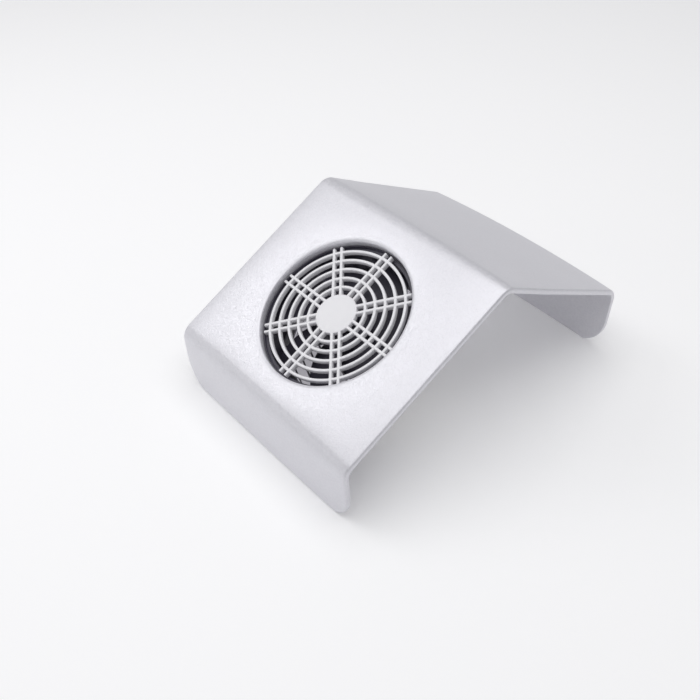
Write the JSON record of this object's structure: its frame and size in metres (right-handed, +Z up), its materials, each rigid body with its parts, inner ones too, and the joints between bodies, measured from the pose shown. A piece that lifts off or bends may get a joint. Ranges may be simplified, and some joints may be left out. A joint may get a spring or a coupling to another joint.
{
  "type": "nail dust collector",
  "caption": "Bent hand rest on two legs with a round intake grille, an axial fan, a louvred outlet and a cloth dust bag below.",
  "frame": {"origin": "centre of the footprint, on the table under the two legs", "axes": "+X from the front leg to the back leg, +Y from the near side to the far side, +Z up"},
  "size_m": [0.27, 0.19, 0.12],
  "materials": {
    "pearl_plastic": "satin pearl, fine metallic flake",
    "grille_plastic": "satin",
    "fan_plastic": "fine matte",
    "tray_plastic": "fine matte",
    "switch_plastic": "matte",
    "foam": "open foam",
    "steel": "zinc plated",
    "lamination": "stacked sheet",
    "copper": "enamelled wire",
    "brass": "plain",
    "brown_lead": "satin",
    "blue_lead": "satin",
    "bag_cloth": "fine non-woven",
    "elastic_hem": "gathered hem"
  },
  "bodies": {
    "base": {"top_shell": "pearl_plastic", "intake_grille": "grille_plastic", "grille_seat": "fan_plastic", "fan_gasket": "foam", "fan_frame": "fan_plastic", "lower_bearing": "steel", "upper_bearing": "steel", "stator_core": "lamination", "stator_coil_1": "copper", "stator_coil_2": "copper", "stator_coil_3": "copper", "stator_coil_4": "copper", "fan_tray": "tray_plastic", "outlet_guard": "tray_plastic", "case_screw_1": "steel", "case_screw_2": "steel", "case_screw_3": "steel", "case_screw_4": "steel", "bay_screw_1": "steel", "bay_screw_2": "steel", "guard_screw_1": "steel", "guard_screw_2": "steel", "guard_screw_3": "steel", "guard_screw_4": "steel", "switch_body": "switch_plastic", "switch_terminal_1": "brass", "switch_terminal_2": "brass", "cord_gland": "switch_plastic", "gland_nut": "switch_plastic", "fan_terminal": "switch_plastic", "lead_live": "brown_lead", "lead_switched": "brown_lead", "lead_neutral": "blue_lead"},
    "fan_rotor": {"impeller": "fan_plastic", "rotor_ring": "lamination", "motor_shaft": "steel", "shaft_clip": "steel"},
    "rocker": {"switch_rocker": "switch_plastic"},
    "bag": {"dust_bag": "bag_cloth", "bag_hem": "elastic_hem"}
  },
  "joints": [
    {"name": "fan_spin", "type": "hinge", "parent": "base", "child": "fan_rotor", "pos_m": [-0.05131, 0, 0.06243], "axis": [-0.4571, 0, 0.8894], "continuous": true},
    {"name": "switch_rock", "type": "hinge", "parent": "base", "child": "rocker", "pos_m": [-0.05888, 0.0825, 0.05966], "axis": [-0.4571, 0, 0.8894], "range_deg": [0, 20]},
    {"name": "bag_pull", "type": "slide", "parent": "base", "child": "bag", "axis": [0.4571, 0, -0.8894], "range_m": [0, 0.007]}
  ]
}
